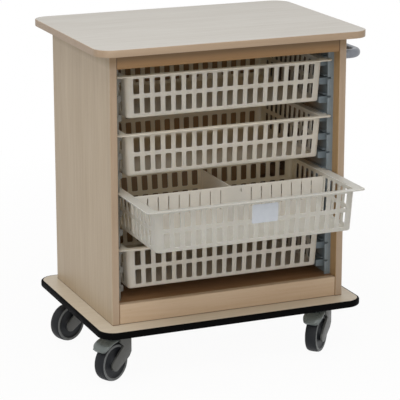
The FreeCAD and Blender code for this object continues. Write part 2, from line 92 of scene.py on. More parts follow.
def new_group(name, inputs, outputs):
    """Empty shader group with its named sockets; gives the tree, its input and its output node."""
    tree = bpy.data.node_groups.new(name, "ShaderNodeTree")
    for socket, (kind, value) in inputs.items():
        made = tree.interface.new_socket(socket, in_out="INPUT", socket_type="NodeSocket" + kind)
        if value is not None:
            made.default_value = value
    for socket, kind in outputs.items():
        tree.interface.new_socket(socket, in_out="OUTPUT", socket_type="NodeSocket" + kind)
    return tree, tree.nodes.new("NodeGroupInput"), tree.nodes.new("NodeGroupOutput")


def laminate_grain_group():
    """Printed beech grain: broad figure, fine streaks and short ray flecks, all along the vector's Z."""
    tree, given, result = new_group(
        "laminate_grain",
        {
            "Vector": ("Vector", None),
            "Pale": ("Color", tone(205, 188, 162)),
            "Deep": ("Color", tone(180, 158, 128)),
            "Figure": ("Float", 0.5),
            "Flecks": ("Float", 0.5),
        },
        {"Color": "Color", "Roughness": "Float", "Height": "Float"},
    )
    long_stretch = (1, 1, 0.045)
    short_stretch = (1, 1, 0.16)
    vector = given.outputs["Vector"]
    deep = given.outputs["Deep"]
    drawn_out = put(tree, "ShaderNodeVectorMath", {0: vector, 1: long_stretch}, operation="MULTIPLY")
    broad = noise(tree, drawn_out.outputs[0], scale=14, detail=3, distortion=0.6)
    fine = noise(tree, drawn_out.outputs[0], scale=150, detail=4)
    shorter = put(tree, "ShaderNodeVectorMath", {0: vector, 1: short_stretch}, operation="MULTIPLY")
    rays = noise(tree, shorter.outputs[0], scale=420, detail=1)
    cloud = noise(tree, vector, scale=5, detail=2)

    figure = maths(tree, "MULTIPLY", spread(tree, broad, 0.36, 0.66, 0, 1), given.outputs["Figure"])
    streaks = spread(tree, fine, 0.35, 0.68, 0, 1)
    grain = maths(tree, "MULTIPLY_ADD", streaks, 0.35, figure, clamp=True)
    base = blend_colours(tree, grain, given.outputs["Pale"], deep)
    flecks = maths(tree, "MULTIPLY", spread(tree, rays, 0.66, 0.74, 0, 0.35), given.outputs["Flecks"])
    darker = blend_colours(tree, 0.75, base, deep, "MULTIPLY")
    flecked = blend_colours(tree, flecks, base, darker)
    clouded = blend_colours(tree, spread(tree, cloud, 0.3, 0.7, 0, 0.12), flecked, deep)
    tree.links.new(clouded, result.inputs["Color"])
    tree.links.new(spread(tree, fine, 0.2, 0.8, 0.36, 0.5), result.inputs["Roughness"])
    tree.links.new(grain, result.inputs["Height"])
    return tree


def edge_wear_group():
    """Masks from the rounded normal against the true one: every arris, and the rubbed parts of them."""
    tree, given, result = new_group(
        "edge_wear",
        {"Radius": ("Float", 0.002), "Amount": ("Float", 0.5), "Patch": ("Float", 40.0)},
        {"Wear": "Float", "Edge": "Float"},
    )
    rounded = put(tree, "ShaderNodeBevel", {"Radius": given.outputs["Radius"]}, samples=4).outputs[0]
    true = put(tree, "ShaderNodeNewGeometry").outputs["Normal"]
    alike = put(tree, "ShaderNodeVectorMath", {0: rounded, 1: true}, operation="DOT_PRODUCT")
    edge = spread(tree, alike.outputs["Value"], 0.98, 0.8, 0, 1)
    place = put(tree, "ShaderNodeTexCoord").outputs["Object"]
    patches = noise(tree, place, scale=given.outputs["Patch"], detail=3)
    rubbed = maths(tree, "MULTIPLY", edge, spread(tree, patches, 0.4, 0.65, 0, 1))
    wear = maths(tree, "MULTIPLY", rubbed, given.outputs["Amount"])
    tree.links.new(wear, result.inputs["Wear"])
    tree.links.new(edge, result.inputs["Edge"])
    return tree


laminate_grain = laminate_grain_group()
edge_wear = edge_wear_group()


def new_finish(name):
    """Material with a Principled shader, its tree, and Object coordinates to build on."""
    finish = bpy.data.materials.new(name)
    finish.use_nodes = True
    tree = finish.node_tree
    shader = tree.nodes["Principled BSDF"]
    place = put(tree, "ShaderNodeTexCoord").outputs["Object"]
    return finish, tree, shader, place


def relief(tree, shader, height, strength, distance):
    bump = put(tree, "ShaderNodeBump", {"Height": height, "Strength": strength, "Distance": distance})
    tree.links.new(bump.outputs[0], shader.inputs["Normal"])


def strip_mask(tree, place, axis, middle, half_width, soft=0.0003):
    """Mask of a strip across one axis, the same on both sides of the origin."""
    along = put(tree, "ShaderNodeSeparateXYZ", {0: place}).outputs[axis]
    off = maths(tree, "SUBTRACT", maths(tree, "ABSOLUTE", along), middle)
    return spread(tree, maths(tree, "ABSOLUTE", off), half_width, half_width + soft, 1, 0)


def laminate(name, pale, deep, turn=(0, 0, 0), figure=0.5, flecks=0.5, worn=(214, 200, 178), strips=()):
    """Laminated board; turn lays the grain, which runs up and down by default.

    strips are (axis, middle, half width, tint) of places with another tint, such as painted shade in a
    joint or under the worktop, and a fifth value is the width of a soft edge.
    """
    sheet_start = (0.13, 0.31, 0.07)
    finish, tree, shader, place = new_finish(name)
    laid = put(tree, "ShaderNodeMapping", {"Vector": place, "Rotation": turn, "Location": sheet_start})
    colours = {"Pale": tone(*pale), "Deep": tone(*deep), "Figure": figure, "Flecks": flecks}
    grain = put(tree, "ShaderNodeGroup", {"Vector": laid.outputs[0], **colours}, node_tree=laminate_grain)
    wear = put(tree, "ShaderNodeGroup", {"Amount": 0.35}, node_tree=edge_wear)
    colour = blend_colours(tree, wear.outputs["Wear"], grain.outputs["Color"], tone(*worn))
    for axis, middle, half_width, tint, *soft in strips:
        mask = strip_mask(tree, place, axis, middle, half_width, *soft)
        colour = blend_colours(tree, mask, colour, tone(*tint), "MULTIPLY")
    tree.links.new(colour, shader.inputs["Base Color"])
    tree.links.new(grain.outputs["Roughness"], shader.inputs["Roughness"])
    relief(tree, shader, grain.outputs["Height"], strength=0.12, distance=0.0003)
    return finish


def dress(node, finish):
    """Gives a solid of the frame its finish."""
    mesh = nodes[node].data
    mesh.materials.clear()
    mesh.materials.append(finish)


def add_piece(name, bm, finish, body, stands_for=None, smooth=35):
    """Closes a mesh as a piece at the origin that rides on a body and takes the given finish."""
    mesh = bpy.data.meshes.new(name)
    bm.to_mesh(mesh)
    bm.free()
    mesh.materials.append(finish)
    mesh.polygons.foreach_set("use_smooth", [True] * len(mesh.polygons))
    mesh.set_sharp_from_angle(angle=math.radians(smooth))
    piece = bpy.data.objects.new(name, mesh)
    bpy.context.scene.collection.objects.link(piece)
    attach(piece, body)
    if stands_for:
        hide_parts(stands_for)
    return piece


def upright_edges(bm):
    return [edge for edge in bm.edges if abs(edge.verts[0].co.z - edge.verts[1].co.z) > 1e-5]


def rounded_board(low, high, corner):
    """Flat slab with rounded corners in plan."""
    bm = bmesh.new()
    bmesh.ops.create_cube(bm, size=1)
    bmesh.ops.scale(bm, vec=high - low, verts=bm.verts)
    bmesh.ops.translate(bm, vec=(low + high) / 2, verts=bm.verts)
    bmesh.ops.bevel(bm, geom=upright_edges(bm), offset=corner, segments=14, profile=0.5, affect="EDGES",
                    material=-1)
    return bm


def rounded_band(low, high, corner, arris, depth):
    """Band round a slab: outer face with rounded arrises, and a plain inner face."""
    bm = rounded_board(low, high, corner)
    upright = set(upright_edges(bm))
    rims = [edge for edge in bm.edges if edge not in upright]
    bmesh.ops.bevel(bm, geom=rims, offset=arris, segments=4, profile=0.5, affect="EDGES", material=-1)
    flats = sorted(bm.faces, key=lambda face: face.calc_area())[-2:]
    bmesh.ops.inset_region(bm, faces=flats, thickness=depth - arris, use_even_offset=True)
    bmesh.ops.delete(bm, geom=flats, context="FACES")
    loops = [edge for edge in bm.edges if edge.is_boundary]
    bmesh.ops.bridge_loops(bm, edges=loops)
    bmesh.ops.recalc_face_normals(bm, faces=bm.faces)
    return bm


board_corner = 0.045
band_arris = 0.0016
band_depth = 0.002
along_x = (0, math.radians(90), 0)
worktop_laminate = laminate("worktop_laminate", (202, 199, 193), (187, 182, 174), turn=along_x,
                            figure=0.25, flecks=0.3)
dress("top_board", worktop_laminate)

band_plastic = laminate("edge_band", (179, 158, 136), (164, 141, 118), turn=along_x, figure=0.6, flecks=0.2)
low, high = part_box("top_edge_band")
add_piece("worktop_edge_band", rounded_band(low, high, board_corner, band_arris, band_depth), band_plastic,
          "carcass", "top_edge_band")


# --- Carcass -----------------------------------------------------------------
# Two 19 mm sides, a rail under the top and a rail on the base, of beech-laminated board.
# The parts are doweled and glued; the grain stands upright on the sides and lies on the rails.
# Painted shade: the insides are toned darker and warmer, and the front edges, the top rail, the joints and
# the boards' heads close under the worktop darker, where shade falls.

panel_low, panel_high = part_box("side_panel_left")
rail_low, rail_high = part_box("top_rail")
foot_joint = panel_low.z
head_joint = panel_high.z
front_edge = -panel_low.y
inner_face = 0.0002 - panel_high.x
# Painted shade: dark lines along the joints between the boards, where the gaps lie in shade.
joint_shade_line = (150, 128, 104)
panel_laminate = laminate(
    "panel_laminate", (197, 180, 155), (179, 159, 132), figure=0.55,
    strips=(
        # Painted shade: the inside faces are toned darker and warmer.
        ("X", 0, inner_face, (240, 217, 184)),
        # Painted shade: the front edges are toned a little darker and cooler.
        ("Y", front_edge, 0.0006, (236, 230, 234)),
        ("Z", foot_joint, 0.0014, joint_shade_line),
        ("Z", head_joint, 0.0012, joint_shade_line),
        # Painted shadow under the worktop, fading out downwards.
        ("Z", head_joint, 0.0220, (212, 204, 184), 0.020),
    ),
)
rail_laminate = laminate(
    "rail_laminate", (204, 182, 157), (187, 160, 132), turn=along_x, figure=0.6,
    strips=(
        ("X", rail_high.x, 0.0016, joint_shade_line),
        ("Z", foot_joint, 0.0016, joint_shade_line),
        # Painted shade: the whole top rail is toned darker, as it lies under the worktop.
        ("Z", head_joint, rail_high.z - rail_low.z, (202, 181, 146)),
        # Painted shadow under the worktop, fading out downwards.
        ("Z", head_joint, 0.0180, (190, 190, 188), 0.016),
    ),
)
for node in ("side_panel_left", "side_panel_right"):
    dress(node, panel_laminate)
for node in ("top_rail", "plinth_rail"):
    dress(node, rail_laminate)


# --- Back and floor of the carcass -------------------------------------------
# The back and the bottom shelf are of the same board as the sides, toned warmer and browner as painted
# shade, as little light reaches in between the sides.

back_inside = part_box("back_panel")[0].y + 0.0006
inner_laminate = laminate(
    "inner_laminate", (198, 181, 157), (180, 160, 134), figure=0.6,
    # Painted shade: the back's inside face is toned warmer and darker.
    strips=(("Y", 0, back_inside, (206, 180, 146)),),
)
# Painted shade: the bottom shelf is the sides' board toned dark brown.
floor_laminate = laminate("floor_laminate", (150, 114, 80), (122, 88, 58), turn=along_x, figure=0.6,
                          worn=(178, 150, 118))
dress("back_panel", inner_laminate)
dress("bottom_shelf", floor_laminate)


# --- Base deck and bumper ------------------------------------------------------
# The deck repeats the worktop's outline in the same laminate, toned paler as painted light.
# A black bumper strip with a rounded face is pressed on all round it.

deck_laminate = laminate("deck_laminate", (222, 212, 195), (206, 193, 172), turn=along_x, figure=0.45)
dress("base_board", deck_laminate)


def scuffs_group():
    """Faint cloudy scuffs and fine scratches on moulded plastic or rubber."""
    tree, given, result = new_group(
        "scuffs",
        {"Vector": ("Vector", None), "Scale": ("Float", 30.0), "Amount": ("Float", 0.5)},
        {"Mask": "Float", "Height": "Float"},
    )
    cloud = noise(tree, given.outputs["Vector"], scale=given.outputs["Scale"], detail=5)
    grainy = noise(tree, given.outputs["Vector"], scale=900, detail=2)
    mask = maths(tree, "MULTIPLY", spread(tree, cloud, 0.42, 0.72, 0, 1), given.outputs["Amount"])
    tree.links.new(mask, result.inputs["Mask"])
    tree.links.new(grainy, result.inputs["Height"])
    return tree


scuffs = scuffs_group()


def fade_along_y(tree, place, near, far):
    """Mask that goes from 0 to 1 between two places along Y."""
    along = put(tree, "ShaderNodeSeparateXYZ", {0: place}).outputs["Y"]
    return spread(tree, along, near, far, 0, 1)


def moulded(name, colour, scuffed, rough, worn, wear_amount=0.4, scuff_scale=30, metal=0.0, gloss=0.5,
            rear=None):
    """Moulded plastic or rubber, or metal, with scuffs, a fine texture and rubbed edges.

    rear is (colour, near, far): a warmer tone for the back as painted shade, and where along Y it sets in
    and is full.
    """
    finish, tree, shader, place = new_finish(name)
    marks = put(tree, "ShaderNodeGroup", {"Vector": place, "Scale": scuff_scale}, node_tree=scuffs)
    wear = put(tree, "ShaderNodeGroup", {"Amount": wear_amount, "Radius": 0.0012}, node_tree=edge_wear)
    toned = blend_colours(tree, marks.outputs["Mask"], tone(*colour), tone(*scuffed))
    edged = blend_colours(tree, wear.outputs["Wear"], toned, tone(*worn))
    # Painted shade: towards the back the colour turns warmer.
    if rear:
        shade, near, far = rear
        edged = blend_colours(tree, fade_along_y(tree, place, near, far), edged, tone(*shade))
    tree.links.new(edged, shader.inputs["Base Color"])
    tree.links.new(spread(tree, marks.outputs["Mask"], 0, 0.5, *rough), shader.inputs["Roughness"])
    shader.inputs["Metallic"].default_value = metal
    shader.inputs["Specular IOR Level"].default_value = gloss
    relief(tree, shader, marks.outputs["Height"], strength=0.15, distance=0.0002)
    return finish


bumper_arris = 0.0045
bumper_depth = 0.006
bumper_rubber = moulded("bumper_rubber", (7, 7, 8), (15, 15, 15), rough=(0.6, 0.8), worn=(36, 36, 35),
                        gloss=0.03)
low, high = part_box("base_bumper")
add_piece("bumper_strip", rounded_band(low, high, board_corner, bumper_arris, bumper_depth), bumper_rubber,
          "carcass", "base_bumper")


# --- Runner panels -------------------------------------------------------------
# Moulded blue-grey panels screwed to the inside of the sides. Painted shade: the left one is toned greyer
# and the rear of the right one warmer.
# Each level has a ledge for a tray's flange and a lip over it that stops the tray tipping.
# A nose strip runs down the front edge and is open at each level, where the flange goes in.

runner_plastic = moulded("runner_plastic", (123, 136, 146), (134, 146, 155), rough=(0.34, 0.5),
                         worn=(170, 176, 180), wear_amount=0.8, rear=((146, 122, 95), -0.15, -0.06))
# Painted shade: the left panel's plastic is toned greyer than the right one's.
shaded_plastic = moulded("runner_plastic_shaded", (118, 117, 112), (129, 128, 122), rough=(0.34, 0.5),
                         worn=(140, 138, 132))
ledge_pitch = 0.050
lowest_ledge = 0.2338
nose_depth = 0.006
nose_width = 0.0088
nose_arris = 0.0008
notch = 0.0056
web_face = 0.3012
nose_middle = web_face - nose_width / 2
low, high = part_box("runner_panel_right")
ledges = [lowest_ledge + step * ledge_pitch for step in range(12)]
for side, panel, finish in ((-1, "left", shaded_plastic), (1, "right", runner_plastic)):
    dress("runner_panel_" + panel, finish)
    bm = bmesh.new()
    for under, over in zip([low.z - notch] + ledges, ledges + [high.z]):
        block = bmesh.ops.create_cube(bm, size=1)["verts"]
        bmesh.ops.scale(bm, vec=(nose_width, nose_depth, over - under - notch), verts=block)
        middle = (side * nose_middle, low.y + nose_depth / 2, (over + under + notch) / 2)
        bmesh.ops.translate(bm, vec=middle, verts=block)
    free = [edge for edge in bm.edges if min(abs(vert.co.x) for vert in edge.verts) < nose_middle]
    bmesh.ops.bevel(bm, geom=free, offset=nose_arris, segments=2, profile=0.5, affect="EDGES", material=-1)
    add_piece("runner_nose_" + panel, bm, finish, "carcass")


# --- Trays -----------------------------------------------------------------------
# Injection-moulded open trays of milky polypropylene, slotted on all four walls.
# The flange at the rim turns down at its edge and hangs in the runner panels.
# Painted light and shade: the fronts are toned cooler than the rears, the open tray's most.

tray_wall = 0.0022
tray_taper = 0.006
tray_corner = 0.011
tray_heel = 0.0045
flange_reach = Vector((0.025, 0.014))
flange_corner = 0.009
flange_skirt = 0.0010
low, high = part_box("tray_1")
tray_height = high.z - low.z
rim_half = Vector(((high.x - low.x) / 2, (high.y - low.y) / 2))
body_half = rim_half - flange_reach

slot_width = 0.0175
slot_height = 0.0405
slot_corner = 0.0030
slot_margin = 0.0004
slot_pitch = 0.0289
slot_rows = (-0.0302, -0.0807)
front_slots = [(step - 8.5) * slot_pitch for step in range(18)]
side_slots = [(step - 5) * slot_pitch for step in range(11)]
slotted_walls = ((0, front_slots), (1, side_slots))


def milky_plastic(name, colour, deep, see_through, rim=(240, 240, 236), rim_light=0.5,
                  front_tone=None):
    """Polypropylene that lets light through and looks brighter along its thin edges.

    front_tone is (colour, deep, near, far): a cooler tone for the front as painted light, and where along Y
    it sets in and is full.
    """
    finish, tree, shader, place = new_finish(name)
    marks = put(tree, "ShaderNodeGroup", {"Vector": place, "Scale": 9}, node_tree=scuffs)
    wear = put(tree, "ShaderNodeGroup", {"Radius": 0.0015}, node_tree=edge_wear)
    toned = blend_colours(tree, marks.outputs["Mask"], tone(*colour), tone(*deep))
    # Painted light: the front is toned cooler than the rest.
    if front_tone:
        cool, cool_deep, near, far = front_tone
        cooler = blend_colours(tree, marks.outputs["Mask"], tone(*cool), tone(*cool_deep))
        toned = blend_colours(tree, fade_along_y(tree, place, near, far), toned, cooler)
    # Painted highlight: every edge is blended towards the rim colour.
    lit = maths(tree, "MULTIPLY", wear.outputs["Edge"], rim_light)
    tree.links.new(blend_colours(tree, lit, toned, tone(*rim)), shader.inputs["Base Color"])
    tree.links.new(spread(tree, marks.outputs["Mask"], 0, 0.5, 0.34, 0.46), shader.inputs["Roughness"])
    shader.inputs["Subsurface Weight"].default_value = see_through
    shader.inputs["Subsurface Radius"].default_value = (1.0, 0.95, 0.85)
    shader.inputs["Subsurface Scale"].default_value = 0.012
    relief(tree, shader, marks.outputs["Height"], strength=0.08, distance=0.0002)
    return finish


def cut_wall(bm, across, places):
    """Cuts one pair of opposite walls along the slots' edges, level by level."""
    def wall():
        faces = [face for face in bm.faces if abs(face.normal[1 - across]) > 0.99]
        edges = {edge for face in faces for edge in face.edges}
        verts = {vert for face in faces for vert in face.verts}
        return [*faces, *edges, *verts]

    for row in slot_rows:
        for side in (-1, 1):
            level = Vector((0, 0, row + side * slot_height / 2))
            bmesh.ops.bisect_plane(bm, geom=wall(), plane_co=level, plane_no=(0, 0, 1), dist=1e-6)
    direction = Vector((1, 0, 0)) if across == 0 else Vector((0, 1, 0))
    for place in places:
        for side in (-1, 1):
            cut = direction * (place + side * slot_width / 2)
            bmesh.ops.bisect_plane(bm, geom=wall(), plane_co=cut, plane_no=direction, dist=1e-6)


def slot_faces(bm):
    """Faces that lie exactly in the slots."""
    near = 0.002
    found = []
    for across, places in slotted_walls:
        for face in bm.faces:
            if abs(face.normal[1 - across]) < 0.99:
                continue
            middle = face.calc_center_median()
            in_row = any(abs(middle.z - row) < near for row in slot_rows)
            in_column = any(abs(middle[across] - place) < near for place in places)
            if in_row and in_column and face.calc_area() > 0.5 * slot_width * slot_height:
                found.append(face)
    return found


def cut_slots(bm):
    """Cuts the rows of round-cornered slots out of all four walls."""
    for across, places in slotted_walls:
        cut_wall(bm, across, places)
    holes = slot_faces(bm)
    bmesh.ops.inset_individual(bm, faces=holes, thickness=slot_margin)
    corners = list({vert for face in holes for vert in face.verts})
    bmesh.ops.bevel(bm, geom=corners, offset=slot_corner, segments=3, profile=0.5, affect="VERTICES",
                    material=-1)
    bmesh.ops.delete(bm, geom=slot_faces(bm), context="FACES")


def made_verts(made):
    """The vertices in what an operator made."""
    return [part for part in made["geom"] if isinstance(part, bmesh.types.BMVert)]


def made_edges(made, key="geom"):
    """The edges in what an operator made."""
    return [part for part in made[key] if isinstance(part, bmesh.types.BMEdge)]


def tighten_corner(vert, outline):
    """Moves a flange vertex from the body's wide corner round to the flange's tighter one."""
    reach = Vector((abs(vert.co.x) - outline.x + tray_corner, abs(vert.co.y) - outline.y + tray_corner))
    if min(reach) > 1e-5:
        tight = reach.normalized() * flange_corner
        vert.co.x = math.copysign(outline.x - flange_corner + tight.x, vert.co.x)
        vert.co.y = math.copysign(outline.y - flange_corner + tight.y, vert.co.y)


def turn_out_flange(bm):
    """Turns the rim out flat all round and down in a short skirt."""
    top = -tray_wall - 0.0001
    rim = [edge for edge in bm.edges if edge.is_boundary and min(vert.co.z for vert in edge.verts) > top]
    outline = rim_half - Vector((tray_wall, tray_wall))
    out = outline - body_half
    flange = bmesh.ops.extrude_edge_only(bm, edges=rim)
    for vert in made_verts(flange):
        vert.co.x += math.copysign(out.x, vert.co.x)
        vert.co.y += math.copysign(out.y, vert.co.y)
        tighten_corner(vert, outline)
    outer = [edge for edge in made_edges(flange) if edge.is_boundary]
    skirt = bmesh.ops.extrude_edge_only(bm, edges=outer)
    bmesh.ops.translate(bm, vec=(0, 0, -flange_skirt), verts=made_verts(skirt))


def tray_body():
    """Tray in its own place: rim at zero height, centred on its plan."""
    bm = bmesh.new()
    bmesh.ops.create_cube(bm, size=1)
    bmesh.ops.scale(bm, vec=(2 * body_half.x, 2 * body_half.y, tray_height - tray_wall), verts=bm.verts)
    bmesh.ops.translate(bm, vec=(0, 0, -(tray_height + tray_wall) / 2), verts=bm.verts)
    lid = [face for face in bm.faces if face.normal.z > 0.9]
    bmesh.ops.delete(bm, geom=lid, context="FACES_ONLY")
    bmesh.ops.bevel(bm, geom=upright_edges(bm), offset=tray_corner, segments=5, profile=0.5, affect="EDGES",
                    material=-1)
    heel = [edge for edge in bm.edges if max(vert.co.z for vert in edge.verts) < tray_wall - tray_height]
    bmesh.ops.bevel(bm, geom=heel, offset=tray_heel, segments=3, profile=0.5, affect="EDGES", material=-1)
    cut_slots(bm)
    turn_out_flange(bm)
    for vert in bm.verts:
        depth = min(max(-vert.co.z / tray_height, 0), 1)
        if abs(vert.co.x) < body_half.x + 0.0005 and abs(vert.co.y) < body_half.y + 0.0005:
            vert.co.x *= 1 - depth * tray_taper / body_half.x
            vert.co.y *= 1 - depth * tray_taper / body_half.y
    bmesh.ops.recalc_face_normals(bm, faces=bm.faces)
    bottom = min(bm.faces, key=lambda face: face.calc_center_median().z)
    if bottom.normal.z > 0:
        bmesh.ops.reverse_faces(bm, faces=bm.faces)
    return bm


# Painted light and shade: warm rears, cooler fronts, the open tray's front greyer and darker.
tray_plastic = milky_plastic("tray_plastic", (247, 226, 194), (238, 215, 182), 1.0, rim_light=0.6,
                             front_tone=((237, 227, 211), (227, 216, 198), 0.12, -0.06))
open_tray_plastic = milky_plastic("open_tray_plastic", (247, 226, 194), (238, 215, 182), 1.0,
                                  rim=(246, 251, 254), rim_light=0.9,
                                  front_tone=((192, 193, 190), (183, 183, 179), -0.05, -0.24))
for number in (1, 2, 3, 4):
    node = "tray_%d" % number
    low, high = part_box(node)
    place = Vector(((low.x + high.x) / 2, (low.y + high.y) / 2, high.z))
    bm = tray_body()
    bmesh.ops.translate(bm, vec=place, verts=bm.verts)
    finish = open_tray_plastic if number == 3 else tray_plastic
    tray = add_piece("slotted_" + node, bm, finish, "tray_body_%d" % number, node)
    wall = tray.modifiers.new("wall", "SOLIDIFY")
    wall.thickness = tray_wall
    wall.offset = -1
    wall.use_even_offset = True


# --- Dividers in the open tray ---------------------------------------------------
# A long slitted strip of milky sheet stands across the tray. A short one reaches from it
# back to the rear wall, with a foot that lies flat against the long one.

# Painted highlight along the sheet's edges, as on the trays.
divider_sheet = milky_plastic("divider_sheet", (244, 238, 226), (234, 227, 213), 0.6)
for node in ("long_divider", "short_divider"):
    dress(node, divider_sheet)


# --- Label card ----------------------------------------------------------------------
# A blank card lies flat on the open tray's front wall.
# Its corners are cut round, and it leans with the wall.

card_size = Vector((0.072, 0.0004, 0.050))
card_corner = 0.004
card_aside = 0.0235
card_drop = 0.037
low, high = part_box("tray_3")
lean = math.atan(tray_taper / tray_height)
front = low.y + flange_reach.y + card_drop * math.tan(lean)
bm = bmesh.new()
bmesh.ops.create_cube(bm, size=1)
bmesh.ops.scale(bm, vec=card_size, verts=bm.verts)
corners = [edge for edge in bm.edges if abs(edge.verts[0].co.y - edge.verts[1].co.y) > 1e-5]
bmesh.ops.bevel(bm, geom=corners, offset=card_corner, segments=5, profile=0.5, affect="EDGES", material=-1)
bmesh.ops.rotate(bm, verts=bm.verts, matrix=Matrix.Rotation(lean, 3, "X"))
bmesh.ops.translate(bm, vec=(card_aside, front - card_size.y / 2, high.z - card_drop), verts=bm.verts)
card_paper = moulded("card_paper", (200, 208, 220), (190, 198, 212), rough=(0.5, 0.6), worn=(200, 204, 214),
                     scuff_scale=60)
add_piece("label_card", bm, card_paper, "tray_body_3")


# --- Push handle -----------------------------------------------------------------------
# A bow of bent tube on the right side, silver lacquered, screwed on from inside.
# A turned rose covers each end where the tube meets the panel.

silver_lacquer = moulded("silver_lacquer", (128, 132, 139), (146, 150, 156), rough=(0.28, 0.42),
                         worn=(174, 177, 182), scuff_scale=80, metal=0.7)
tube = 0.012
bend = 0.030
low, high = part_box("push_handle")
foot_x = low.x
level = (low.z + high.z) / 2
leg_end = high.x - tube - bend
near_y = low.y + tube
far_y = high.y - tube
bm = bmesh.new()
ring = bmesh.ops.create_circle(bm, segments=28, radius=tube)["verts"]
bmesh.ops.rotate(bm, verts=ring, cent=(0, 0, 0), matrix=Matrix.Rotation(math.radians(90), 3, "Y"))
bmesh.ops.translate(bm, vec=(foot_x, near_y, level), verts=ring)


def push_on(bm, loop, vec):
    """Carries the tube's open end straight on and gives its new edges."""
    made = bmesh.ops.extrude_edge_only(bm, edges=loop)
    bmesh.ops.translate(bm, vec=vec, verts=made_verts(made))
    return made_edges(made)


def bend_on(bm, loop, centre):
    """Bends the tube's open end a quarter turn round a centre in plan and gives its new edges."""
    made = bmesh.ops.spin(bm, geom=loop, cent=centre, axis=(0, 0, 1), angle=math.radians(90), steps=12)
    return made_edges(made, "geom_last")


loop = push_on(bm, list(bm.edges), (leg_end - foot_x, 0, 0))
loop = bend_on(bm, loop, (leg_end, near_y + bend, level))
loop = push_on(bm, loop, (0, far_y - near_y - 2 * bend, 0))
loop = bend_on(bm, loop, (leg_end, far_y - bend, level))
push_on(bm, loop, (foot_x - leg_end, 0, 0))
bmesh.ops.remove_doubles(bm, verts=bm.verts, dist=1e-6)
bmesh.ops.holes_fill(bm, edges=[edge for edge in bm.edges if edge.is_boundary])
bmesh.ops.recalc_face_normals(bm, faces=bm.faces)
add_piece("handle_bow", bm, silver_lacquer, "carcass", "push_handle")
dress("handle_roses", silver_lacquer)


# --- Castor plates ---------------------------------------------------------------------------
# Each castor's zinc-plated plate is bolted under the deck at its four corners.
# The heads are hexagons on round washers, all with their edges broken.

zinc = moulded("zinc_plate", (158, 160, 162), (136, 138, 140), rough=(0.3, 0.5), worn=(190, 190, 190),
               scuff_scale=50, metal=0.9)
for node in ("castor_plates", "castor_kingpins"):
    dress(node, zinc)

# Where each kingpin stands in plan, and the way its wheel trails, in degrees from +X.
castors = {
    "front_left": (-0.300, -0.199, 209.4),
    "front_right": (0.278, -0.199, 224.6),
    "rear_left": (-0.300, 0.135, 203.0),
    "rear_right": (0.278, 0.135, 215.0),
}
plate_thickness = 0.003
bolt_reach = 0.035
bolt_arris = 0.0004
washer = {"segments": 24, "radius1": 0.0085, "radius2": 0.0085, "depth": 0.001}
bolt_head = {"segments": 6, "radius1": 0.0058, "radius2": 0.0065, "depth": 0.004}
washer_drop = 0.0005
head_drop = 0.0025
plate_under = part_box("base_board")[0].z - plate_thickness

bm = bmesh.new()
for x, y, heading in castors.values():
    for across, along in ((-1, -1), (-1, 1), (1, 1), (1, -1)):
        for drop, form in ((washer_drop, washer), (head_drop, bolt_head)):
            place = (x + across * bolt_reach, y + along * bolt_reach, plate_under - drop)
            bmesh.ops.create_cone(bm, cap_ends=True, matrix=Matrix.Translation(place), **form)
rims = [edge for edge in bm.edges if edge.calc_face_angle() > math.radians(50)]
bmesh.ops.bevel(bm, geom=rims, offset=bolt_arris, segments=2, profile=0.5, affect="EDGES", material=-1)
add_piece("plate_bolts", bm, zinc, "carcass")


# --- Castor forks, wheels and pedals ---------------------------------------------------------
# A moulded fork swivels under each plate and carries a 100 mm wheel: a hub, a dark tread and two
# grey side rings. The front two have a foot pedal that swings down to just over the tread.

fork_plastic = moulded("fork_plastic", (84, 86, 86), (98, 100, 99), rough=(0.36, 0.52),
                       worn=(132, 134, 132))
pedal_plastic = moulded("pedal_plastic", (104, 113, 114), (120, 128, 128), rough=(0.26, 0.4),
                        worn=(150, 156, 156))
# Painted shade: the tread is toned much darker than the grey side rings of the same rubber.
tread_rubber = moulded("tread_rubber", (24, 27, 32), (38, 41, 45), rough=(0.5, 0.7), worn=(60, 61, 62),
                       gloss=0.25)
sidewall_rubber = moulded("sidewall_rubber", (108, 112, 115), (92, 95, 98), rough=(0.45, 0.6),
                          worn=(128, 130, 131))
hub_plastic = moulded("hub_plastic", (28, 31, 36), (40, 43, 48), rough=(0.4, 0.6), worn=(62, 63, 65),
                      gloss=0.25)

trail = 0.038
wheel_radius = 0.050
wheel_steps = 56
fork_arris = 0.0018


def softened_copy(node, radius):
    """Mesh of a frame solid with its loose triangles joined and its edges rounded."""
    bm = bmesh.new()
    bm.from_mesh(nodes[node].data)
    bmesh.ops.remove_doubles(bm, verts=bm.verts, dist=1e-6)
    bmesh.ops.dissolve_limit(bm, angle_limit=math.radians(1), verts=bm.verts, edges=bm.edges)
    closed = [edge for edge in bm.edges if len(edge.link_faces) == 2]
    sharp = [edge for edge in closed if edge.calc_face_angle() > math.radians(35)]
    bmesh.ops.bevel(bm, geom=sharp, offset=radius, segments=2, profile=0.5, affect="EDGES", material=-1,
                    clamp_overlap=True)
    return bm


# The pedal's pad in the castor's own frame: the kingpin stands at the origin, the wheel towards +X.
pad_start = 0.036
pad_tip = 0.088
pad_half = 0.026
pad_corner = 0.018
pad_soft = 0.009
pad_blend = 0.008
pad_rim = 0.35
pad_step = 0.0025


def rim_distance(x, y):
    """How far a point of the pad lies inside its outline, which is rounded at the tip."""
    over_x = x - (pad_tip - pad_corner)
    over_y = abs(y) - (pad_half - pad_corner)
    outside = math.hypot(max(over_x, 0), max(over_y, 0)) + min(max(over_x, over_y), 0)
    return pad_corner - outside


def slice_mesh(bm, at, across):
    whole = [*bm.verts, *bm.edges, *bm.faces]
    bmesh.ops.bisect_plane(bm, geom=whole, plane_co=at, plane_no=across, dist=1e-6)


